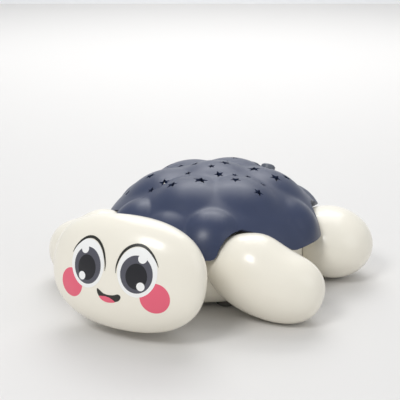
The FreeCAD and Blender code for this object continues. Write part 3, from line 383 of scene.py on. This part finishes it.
@dataclass
class ShellCover:
    """The navy cover: puffed plates over a dome, a scalloped rim with arches, and star holes."""

    half: Point = (74.5, 81.77, 49.8)
    level: float = 26.0
    wall: float = 2.2
    crease_mm: float = 0.5
    columns: int = 480
    rows: int = 60
    big_radius: float = 40.0
    big_puff: float = 3.5
    edge_radius: float = 27.0
    edge_puff: float = 2.7
    tab_radius: float = 24.0
    tab_puff: float = 4.5

    # Plates as shares of the half width and half length.
    BIG = ((0, -0.50), (0, 0.0), (0, 0.40), (0, 0.70), (0.45, -0.27), (-0.45, -0.27), (0.48, 0.25),
           (-0.48, 0.25))
    EDGE = ((0.87, 0.0), (-0.87, 0.0), (0.63, 0.67), (-0.63, 0.67), (0, -0.86))
    TAB = ((0.40, -0.74), (-0.40, -0.74))

    # The rim's height over the table at bearings from the head round to the tail.
    RIM = ((0, 45), (8, 44), (13, 40.5), (16, 38.6), (19, 38), (25.5, 38), (27.3, 38.8), (28.4, 41), (29.4, 45),
           (32.4, 50), (36, 52.2), (41.8, 53), (46, 51.6), (50, 49.7), (53.9, 47.4), (59, 44),
           (64.5, 39.8), (69.2, 36.9), (71, 36.5), (80, 36.5), (96, 36.6), (97.8, 37.6), (99.4, 41),
           (102.3, 45), (105.3, 48.7),
           (109.2, 51.5), (114, 53), (120, 52.5), (128, 49), (136, 44), (143, 39.5), (147, 37.4), (150, 36.6),
           (180, 36.5))

    # Star holes: place in the plan, reach of the tips and turn.
    STARS = ((5.3, -29.7, 5.3, 20), (24.3, -18.4, 3.9, 60), (41.4, -20.9, 3.3, 10), (-9.5, -40, 3.8, 75),
             (-18.9, -33.2, 3.9, 30), (-24.7, -40.3, 2.7, 5), (10.6, -14.5, 3.4, 50), (18.9, -8.6, 2.4, 0),
             (25.7, -3, 2.5, 40), (37.9, -6.4, 2.4, 65), (-10, -18.3, 2.7, 15), (2.1, -8.6, 2.7, 33),
             (6.4, 2.8, 4.1, 55), (22.6, 12.7, 4.8, 25), (39, 11, 4.1, 70), (41.8, 22.7, 3.4, 35),
             (27.7, 25.1, 3.1, 10), (-34.3, -25.3, 3.8, 62), (-49.5, -6.2, 2.7, 22), (-47.7, -33.5, 3.1, 48),
             (-32.4, -5.8, 3.4, 12), (-26.9, 2.5, 2.7, 30), (-13, -3.2, 3.4, 66), (-19, 29, 4.1, 18),
             (0.6, 28.3, 3.1, 42), (-41, 9.6, 3.4, 57), (1, 14.6, 3.4, 5), (15, 34.6, 3.1, 28))
    star_waist: float = 0.45
    star_level: float = 58.0
    star_depth: float = 40.0
    bore_radius: float = 5.3
    bore_depth: float = 24.0
    button_row: float = 58.0
    edge_round: float = 0.8
    BUTTONS = ("timer_button", "light_button", "colour_button")

    def on_dome(self, x: float, y: float) -> tuple[Vector, Vector]:
        """Give the plain dome's point over a place of the plan, and the way it faces."""
        lift = math.sqrt(max(0.02, 1 - (x / self.half[0]) ** 2 - (y / self.half[1]) ** 2))
        point = Vector((x, y, self.level + self.half[2] * lift))
        facing = Vector((x / self.half[0] ** 2, y / self.half[1] ** 2, lift / self.half[2])).normalized()
        return point, facing

    def plates(self) -> list[tuple[Vector, float]]:
        """Give each plate's ball: its centre and radius."""
        balls = []
        for shares, radius, puff in ((self.BIG, self.big_radius, self.big_puff),
                                     (self.EDGE, self.edge_radius, self.edge_puff),
                                     (self.TAB, self.tab_radius, self.tab_puff)):
            for across, along in shares:
                point, facing = self.on_dome(across * self.half[0], along * self.half[1])
                balls.append((point + facing * (puff - radius), radius))
        return balls

    def reach(self, ways: np.ndarray) -> np.ndarray:
        """Give how far the puffed surface lies from the dome's centre along unit directions."""
        dome = 1 / np.sqrt(((ways / np.array(self.half)) ** 2).sum(1))
        surfaces = [dome]
        start = np.array([0.0, 0.0, self.level])
        for centre, radius in self.plates():
            offset = start - np.array(centre)
            along = ways @ offset
            inside = along ** 2 - offset @ offset + radius ** 2
            hit = np.where(inside > 0, -along + np.sqrt(np.clip(inside, 0, None)), 0)
            surfaces.append(hit)
        stack = np.stack(surfaces) / self.crease_mm
        top = stack.max(0)
        blended = top + np.log(np.exp(stack - top).sum(0))
        return blended * self.crease_mm

    def rim_rise(self, bearing: np.ndarray) -> np.ndarray:
        """Give the elevation, in radians, of the rim seen from the dome's centre at each bearing in degrees."""
        turns, heights = zip(*self.RIM)
        wanted = np.interp(np.abs(bearing), turns, heights)
        low = np.zeros(len(bearing))
        high = np.full(len(bearing), 1.2)
        side = np.radians(bearing)
        for _ in range(30):
            middle = (low + high) / 2
            ways = np.stack([np.sin(side) * np.cos(middle), -np.cos(side) * np.cos(middle), np.sin(middle)], 1)
            height = self.level + self.reach(ways) * np.sin(middle)
            low = np.where(height < wanted, middle, low)
            high = np.where(height < wanted, high, middle)
        return (low + high) / 2

    def skin(self) -> bpy.types.Object:
        """Model the open skin: the upper half of a ball, its rows shared out between rim and crown."""
        deselect()
        bpy.ops.mesh.primitive_uv_sphere_add(segments=self.columns, ring_count=2 * self.rows, radius=1.0)
        piece = made("shell_skin")
        form = bmesh.new()
        form.from_mesh(piece.data)
        low = [v for v in form.verts if v.co.z < -0.5 / (2 * self.rows)]
        bmesh.ops.delete(form, geom=low, context="VERTS")
        form.to_mesh(piece.data)
        form.free()
        unit = coordinates(piece) * MM
        bearing = np.degrees(np.arctan2(unit[:, 0], -unit[:, 1]))
        share = np.arcsin(np.clip(unit[:, 2], 0, 1)) / (math.pi / 2)
        share = 0.55 * share + 0.45 * share ** 1.6
        lowest = self.rim_rise(bearing)
        rise = lowest + share * (math.pi / 2 - lowest)
        side = np.radians(bearing)
        ways = np.stack([np.sin(side) * np.cos(rise), -np.cos(side) * np.cos(rise), np.sin(rise)], 1)
        set_coordinates(piece, ways * self.reach(ways)[:, None] + np.array([0, 0, self.level]))
        return piece

    def star_tool(self) -> bpy.types.Object:
        """Model upright star prisms, each from its own circle, joined as one tool."""
        stars = []
        for x, y, reach, turn in self.STARS:
            deselect()
            bpy.ops.mesh.primitive_circle_add(vertices=10, radius=reach * MM, fill_type="NGON",
                                              location=mm(x, y, self.star_level),
                                              rotation=(0, 0, math.radians(turn)))
            star = bpy.context.object
            for i, corner in enumerate(star.data.vertices):
                if i % 2:
                    corner.co = corner.co * self.star_waist
            star = made("star")
            bpy.ops.object.mode_set(mode="EDIT")
            bpy.ops.mesh.select_all(action="SELECT")
            bpy.ops.mesh.extrude_region_move(TRANSFORM_OT_translate={"value": mm(0, 0, self.star_depth)})
            bpy.ops.mesh.select_all(action="SELECT")
            bpy.ops.mesh.normals_make_consistent(inside=False)
            bpy.ops.object.mode_set(mode="OBJECT")
            stars.append(star)
        return joined(stars)

    def button_tool(self) -> bpy.types.Object:
        """Model the three bores for the push buttons, each round the button's own solid."""
        bores = []
        for node in self.BUTTONS:
            low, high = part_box(node)
            middle = (low + high) / 2
            facing = self.on_dome(0, self.button_row)[1]
            deselect()
            bpy.ops.mesh.primitive_cylinder_add(vertices=64, radius=self.bore_radius * MM,
                                                depth=self.bore_depth * MM, location=middle,
                                                rotation=facing.to_track_quat("Z", "Y").to_euler())
            bores.append(made("bore"))
        return joined(bores)

    def build(self) -> None:
        """Model the cover with its wall, rounded rim, star holes and button holes, and dress it."""
        piece = self.skin()
        apply_modifier(piece, "SOLIDIFY", thickness=self.wall * MM, offset=-1.0, use_even_offset=True)
        apply_modifier(piece, "BEVEL", width=self.edge_round * MM, segments=3, limit_method="ANGLE",
                       angle_limit=math.radians(50))
        cut_away(piece, self.star_tool())
        cut_away(piece, self.button_tool())
        tidy(piece, 32)
        dress(piece, NAVY_ABS, "root", "shell_navy", "shell_cover")


@dataclass
class Head:
    """The head in two mouldings, the neck, and the printed face."""

    form: Blob
    seam_ahead: float = 91.0
    seam_round: float = 0.18
    neck_inset: float = 0.1
    ink_mm: float = 0.05
    neck_half: Flat = (20.0, 13.0)
    neck_level: float = 22.5
    body_front: float = 66.6

    def half(self, name: str, keep_front: bool) -> bpy.types.Object:
        """Model one side of the seam as a closed moulding with a softened seam edge."""
        piece = self.form.mesh(name, 160, 112)
        bpy.ops.object.mode_set(mode="EDIT")
        bpy.ops.mesh.select_all(action="SELECT")
        bpy.ops.mesh.bisect(plane_co=mm(0, -self.seam_ahead, 0), plane_no=(0, 1, 0), use_fill=True,
                            clear_outer=keep_front, clear_inner=not keep_front)
        bpy.ops.object.mode_set(mode="OBJECT")
        apply_modifier(piece, "BEVEL", width=self.seam_round * MM, segments=2, limit_method="ANGLE",
                       angle_limit=math.radians(40))
        return piece

    def neck(self) -> bpy.types.Object:
        """Model the oval neck; its end lies a hair behind the seam, so no two faces share a plane in the union."""
        deselect()
        front = self.seam_ahead - self.neck_inset
        length = front - self.body_front
        middle = -(front + self.body_front) / 2
        bpy.ops.mesh.primitive_cylinder_add(vertices=96, radius=1.0, depth=length * MM,
                                            location=mm(0, middle, self.neck_level),
                                            rotation=(math.pi / 2, 0, 0),
                                            scale=(self.neck_half[0] * MM, self.neck_half[1] * MM, 1.0))
        return made("neck")

    def on_face(self, spots: np.ndarray, layer: int) -> np.ndarray:
        """Lay flat places of the face on its curved surface, each ink layer a little proud of the last."""
        depth = self.form.front_depth(spots[:, 0], spots[:, 1]) + layer * self.ink_mm
        local = np.stack([spots[:, 0], -depth, spots[:, 1]], 1)
        return local @ self.form.turn().T + np.array(self.form.centre)

    def print_film(self, name: str, finish: Finish, outline: list[Flat], centre: Flat, layer: int,
                   rings: int = 8) -> None:
        """Print one flat shape on the face.

        Args:
            name: the piece's name.
            finish: the ink.
            outline: the shape's edge in millimetres across and up the face, going round once.
            centre: a place inside from which the whole edge can be seen.
            layer: which print pass it is, counted from the plastic outwards.
            rings: how many rings of faces lie between centre and edge.
        """
        deselect()
        bpy.ops.mesh.primitive_circle_add(vertices=len(outline), radius=1.0, fill_type="TRIFAN")
        piece = made(name)
        form = bmesh.new()
        edge = np.array(outline)
        heart = np.array(centre)
        shares = [ring / rings for ring in range(1, rings + 1)]
        spots = [heart] + [heart + (corner - heart) * share for share in shares for corner in edge]
        points = self.on_face(np.array(spots), layer)
        verts = [form.verts.new(Vector(point) * MM) for point in points]
        count = len(outline)
        for i in range(count):
            after = (i + 1) % count
            form.faces.new((verts[0], verts[1 + i], verts[1 + after]))
            for ring in range(rings - 1):
                inner = 1 + ring * count
                outer = inner + count
                form.faces.new((verts[inner + i], verts[outer + i], verts[outer + after], verts[inner + after]))
        form.to_mesh(piece.data)
        form.free()
        tidy(piece, 60)
        self.face_forward(piece)
        apply_modifier(piece, "SOLIDIFY", thickness=(layer + 0.5) * self.ink_mm * MM, offset=-1.0)
        bpy.ops.object.shade_smooth_by_angle(angle=math.radians(60))
        dress(piece, finish, "root", "body_cream")

    def face_forward(self, piece: bpy.types.Object) -> None:
        """Turn an open film so that its faces look forward."""
        normals = np.array([polygon.normal for polygon in piece.data.polygons])
        if normals[:, 1].mean() > 0:
            piece.data.flip_normals()

    def oval(self, centre: Flat, half: Flat, lean: float = 0.0, count: int = 72) -> list[Flat]:
        """Give the edge of an oval that leans by some degrees."""
        spots = []
        turn = math.radians(lean)
        for i in range(count):
            angle = 2 * math.pi * i / count
            x, z = half[0] * math.cos(angle), half[1] * math.sin(angle)
            spots.append((centre[0] + x * math.cos(turn) - z * math.sin(turn),
                          centre[1] + x * math.sin(turn) + z * math.cos(turn)))
        return spots

    def eye(self, side: int) -> None:
        """Print one eye: white, iris, pupil and lights. Side is 1 for the turtle's left and -1 for its right."""
        word = "left" if side > 0 else "right"
        marks = (("white", INK_WHITE, (16.3, 4.6), (11.8, 13.8), 2),
                 ("iris", INK_GREY, (16.1, 3.5), (9.6, 10.5), 3),
                 ("pupil", INK_BLACK, (16.3, 2.4), (6.4, 7.2), 4),
                 ("upper_light", INK_WHITE, (18.9, 12.6), (2.6, 2.6), 5),
                 ("lower_light", INK_WHITE, (19.3, -2.8), (2.4, 2.4), 5))
        for mark, ink, centre, half, layer in marks:
            centre = (side * centre[0], centre[1])
            self.print_film("eye_%s_%s" % (mark, word), ink, self.oval(centre, half), centre, layer)

    def brow(self, side: int) -> None:
        """Print the tapering line over one eye as a slim closed shape."""
        word = "left" if side > 0 else "right"
        spine = [(3.6, 2.5), (3.7, 6.5), (5.0, 11.2), (7.2, 15.2), (10.6, 18.2), (14.8, 19.6), (19.2, 18.9),
                 (23.2, 16.2), (26.3, 12.6), (28.2, 9.2)]
        spine = smooth_line([(side * x, z) for x, z in spine], 48)
        self.stroke("eye_line_%s" % word, spine, 0.8)

    def stroke(self, name: str, spine: list[Flat], half_width: float) -> None:
        """Print a line that is widest in the middle and runs out at both ends."""
        deselect()
        bpy.ops.mesh.primitive_grid_add(x_subdivisions=2, y_subdivisions=2, size=MM)
        piece = made(name)
        form = bmesh.new()
        last = len(spine) - 1
        rows = []
        for i, (x, z) in enumerate(spine):
            ahead, behind = spine[min(i + 1, last)], spine[max(i - 1, 0)]
            way = Vector((ahead[0] - behind[0], ahead[1] - behind[1])).normalized()
            reach = half_width * max(0.06, math.sin(math.pi * i / last)) ** 0.75
            offsets = [reach * share for share in (-1, 0, 1)]
            spots = np.array([(x - way.y * offset, z + way.x * offset) for offset in offsets])
            rows.append([form.verts.new(Vector(point) * MM) for point in self.on_face(spots, 4)])
        for low, high in zip(rows, rows[1:]):
            for i in range(2):
                form.faces.new((low[i], low[i + 1], high[i + 1], high[i]))
        form.to_mesh(piece.data)
        form.free()
        tidy(piece, 60)
        self.face_forward(piece)
        apply_modifier(piece, "SOLIDIFY", thickness=4 * self.ink_mm * MM, offset=-1.0)
        bpy.ops.object.shade_smooth_by_angle(angle=math.radians(60))
        dress(piece, INK_LINE, "root", "body_cream")

    def mouth(self) -> None:
        """Print the open smile and the tongue in it."""
        upper = [(-7.9, -8.0), (-6.2, -9.3), (-3.6, -10.3), (-0.5, -10.7), (2.8, -10.3), (5.4, -9.4),
                 (6.9, -9.6)]
        lower = [(7.6, -10.8), (6.6, -12.8), (4.4, -13.9), (1.4, -14.8), (-1.8, -15.0), (-4.6, -14.2),
                 (-6.8, -12.2), (-8.0, -10.0)]
        outline = smooth_line(upper + lower + upper[:1], 80)[:-1]
        self.print_film("mouth", INK_LINE, outline, (-0.4, -12.3), 2)
        tongue = [(-6.5, -12.5), (-4.2, -11.9), (-1.3, -11.8), (1.5, -12.5), (4.0, -14.05), (1.4, -14.85),
                  (-1.8, -15.05), (-4.6, -14.25), (-6.5, -12.5)]
        self.print_film("tongue", INK_PINK, smooth_line(tongue, 60)[:-1], (-1.4, -13.4), 3)

    def cheeks(self) -> None:
        """Print the pink cheeks, which the eye whites cover in part."""
        for side, word in ((1, "left"), (-1, "right")):
            centre = (side * 27.4, -8.3)
            self.print_film("cheek_%s" % word, INK_PINK, self.oval(centre, (8.4, 8.4)), centre, 1)

    def build(self) -> None:
        """Model both mouldings, the neck and the whole face."""
        face = self.half("head_face", True)
        tidy(face, 35)
        dress(face, CREAM_ABS, "root", "body_cream", "head_shell")
        nape = self.half("head_nape", False)
        cut_away(nape, self.neck(), "UNION")
        tidy(nape, 35)
        dress(nape, CREAM_ABS, "root", "body_cream", "head_back_cover")
        self.cheeks()
        for side in (1, -1):
            self.eye(side)
            self.brow(side)
        self.mouth()


def smooth_line(corners: list[Flat], count: int) -> list[Flat]:
    """Run a smooth line through corners, with a steady number of points.

    Args:
        corners: the places that the line passes through.
        count: how many points to give back.

    Returns:
        Points of a Catmull-Rom line from the first corner to the last.
    """
    points = [Vector(corner) for corner in corners]
    closed = (points[0] - points[-1]).length < 1e-6
    before = points[-2] if closed else points[0] * 2 - points[1]
    after = points[1] if closed else points[-1] * 2 - points[-2]
    ends = [before] + points + [after]
    line = []
    for i in range(count):
        place = i * (len(points) - 1) / (count - 1)
        step = min(int(place), len(points) - 2)
        part = place - step
        a, b, c, d = ends[step:step + 4]
        spot = 0.5 * (2 * b + (c - a) * part + (2 * a - 5 * b + 4 * c - d) * part ** 2
                      + (3 * b - a - 3 * c + d) * part ** 3)
        line.append((spot.x, spot.y))
    return line


@dataclass
class Flippers:
    """The four hollow flippers, modelled on the left and copied in mirror image to the right."""

    front: Blob
    hind: Blob
    body_half: Flat = (60.3, 68.3)
    tool_middle: float = 45.0
    tool_height: float = 100.0

    def body_tool(self) -> bpy.types.Object:
        """Model the oval body's side, which the flippers are cut to fit."""
        deselect()
        bpy.ops.mesh.primitive_cylinder_add(vertices=128, radius=1.0, depth=self.tool_height * MM,
                                            location=mm(0, 0, self.tool_middle),
                                            scale=(self.body_half[0] * MM, self.body_half[1] * MM, 1.0))
        return made("body_tool")

    def build(self) -> None:
        """Model one pair and mirror it."""
        for kind, blob in (("front", self.front), ("hind", self.hind)):
            left = blob.mesh("%s_flipper_skin_left" % kind)
            cut_away(left, self.body_tool())
            tidy(left, 35)
            right = left.copy()
            right.data = left.data.copy()
            right.name = "%s_flipper_skin_right" % kind
            bpy.context.scene.collection.objects.link(right)
            set_coordinates(right, coordinates(right) * np.array([-1, 1, 1]))
            right.data.flip_normals()
            dress(left, CREAM_ABS, "root", "body_cream", "%s_flipper_left" % kind)
            dress(right, CREAM_ABS, "root", "body_cream", "%s_flipper_right" % kind)


def dress_nodes() -> None:
    """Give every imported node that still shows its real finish."""
    for finish, nodes in NODE_FINISHES.items():
        for name in nodes:
            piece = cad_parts[name]
            piece.data.materials.clear()
            piece.data.materials.append(finish.material())
            log.info("%s: %s", name, finish.name)


@dataclass
class Studio:
    """The pale table, the backdrop, the soft lights and the camera."""

    azimuth: float = 28.16
    elevation: float = 15.9
    distance_mm: float = 600.0
    target: Point = (0.0, -20.51, 58.16)
    focal_px: float = 930.0
    frame_px: float = 400.0
    sensor_mm: float = 36.0
    table_m: float = 8.0
    wall_m: float = 12.0
    wall_behind_m: float = 2.6
    sky_strength: float = 0.6

    def away(self) -> Vector:
        """Give the direction from the target to the camera."""
        turn, rise = math.radians(self.azimuth), math.radians(self.elevation)
        return Vector((math.sin(turn) * math.cos(rise), -math.cos(turn) * math.cos(rise), math.sin(rise)))

    def camera(self) -> None:
        """Set the camera that was fitted to the photograph's outlines."""
        data = bpy.data.cameras.new("camera")
        data.sensor_width = self.sensor_mm
        data.lens = self.focal_px / self.frame_px * self.sensor_mm
        data.clip_end = 100
        eye = bpy.data.objects.new("camera", data)
        eye.location = mm(*self.target) + self.away() * self.distance_mm * MM
        eye.rotation_mode = "QUATERNION"
        eye.rotation_quaternion = (-self.away()).to_track_quat("-Z", "Y")
        bpy.context.scene.collection.objects.link(eye)
        bpy.context.scene.camera = eye

    def plain(self, name: str, colour: str, roughness: float) -> bpy.types.Material:
        """Make a plain stage material."""
        material = bpy.data.materials.new(name)
        material.use_nodes = True
        shader = material.node_tree.nodes["Principled BSDF"]
        shader.inputs["Base Color"].default_value = linear(colour)
        shader.inputs["Roughness"].default_value = roughness
        return material

    def stage(self) -> None:
        """Lay the table and stand the backdrop well behind it."""
        deselect()
        bpy.ops.mesh.primitive_plane_add(size=self.table_m, location=(0, 0, 0))
        table = made("table")
        table.data.materials.append(self.plain("Matt white table", "DAD8D6", 0.6))
        bpy.ops.mesh.primitive_plane_add(size=self.wall_m, location=(0, 0, 0))
        wall = made("backdrop")
        back = Matrix.Translation((0, self.wall_behind_m, 0))
        turn = Matrix.Rotation(math.radians(self.azimuth), 4, "Z") @ back
        wall.data.transform(turn @ Matrix.Rotation(math.pi / 2, 4, "X"))
        wall.data.materials.append(self.plain("Matt white backdrop", "F2F3F4", 0.9))

    def light(self, name: str, bearing: float, rise: float, far: float, size: float, watts: float,
              behind: float = 0.0) -> None:
        """Hang one square soft light.

        Args:
            name: the light's name.
            bearing: degrees round the object from the camera's side.
            rise: degrees above the table.
            far: metres from the object.
            size: metres along one side.
            watts: the light's power.
            behind: metres behind the object of the spot that it looks at.
        """
        data = bpy.data.lights.new(name, "AREA")
        data.shape = "SQUARE"
        data.size = size
        data.energy = watts
        lamp = bpy.data.objects.new(name, data)
        turn, lift = math.radians(self.azimuth + bearing), math.radians(rise)
        way = Vector((math.sin(turn) * math.cos(lift), -math.cos(turn) * math.cos(lift), math.sin(lift)))
        lamp.location = way * far
        lamp.rotation_mode = "QUATERNION"
        spot = Matrix.Rotation(math.radians(self.azimuth), 3, "Z") @ Vector((0, behind, 0))
        lamp.rotation_quaternion = (spot - lamp.location).to_track_quat("-Z", "Y")
        bpy.context.scene.collection.objects.link(lamp)

    def lights(self) -> None:
        """Light the object softly from above and the front, and the backdrop with a light of its own."""
        world = bpy.data.worlds.new("world")
        world.use_nodes = True
        sky = world.node_tree.nodes["Background"]
        sky.inputs["Color"].default_value = linear("EEF1F4")
        sky.inputs["Strength"].default_value = self.sky_strength
        bpy.context.scene.world = world
        self.light("key", -34, 47, 1.5, 0.42, 7.5)
        self.light("overhead", 175, 58, 1.8, 1.4, 12.5)
        self.light("fill", 60, 30, 2.2, 1.4, 5)
        self.light("backdrop", 180, 50, 2.2, 1.2, 18, behind=self.wall_behind_m)

    def build(self) -> None:
        """Set up camera, stage and lights, with plain tone reproduction, as in a catalogue photograph."""
        bpy.context.scene.view_settings.view_transform = "Standard"
        self.camera()
        self.stage()
        self.lights()


def main() -> None:
    """Build and dress the whole projector."""
    logging.basicConfig(level=logging.INFO, format="%(name)s %(message)s")
    Studio().build()
    ShellCover().build()
    Head(form=HEAD).build()
    Flippers(front=FRONT_FLIPPER, hind=HIND_FLIPPER).build()
    dress_nodes()


if __name__ == "__main__":
    main()
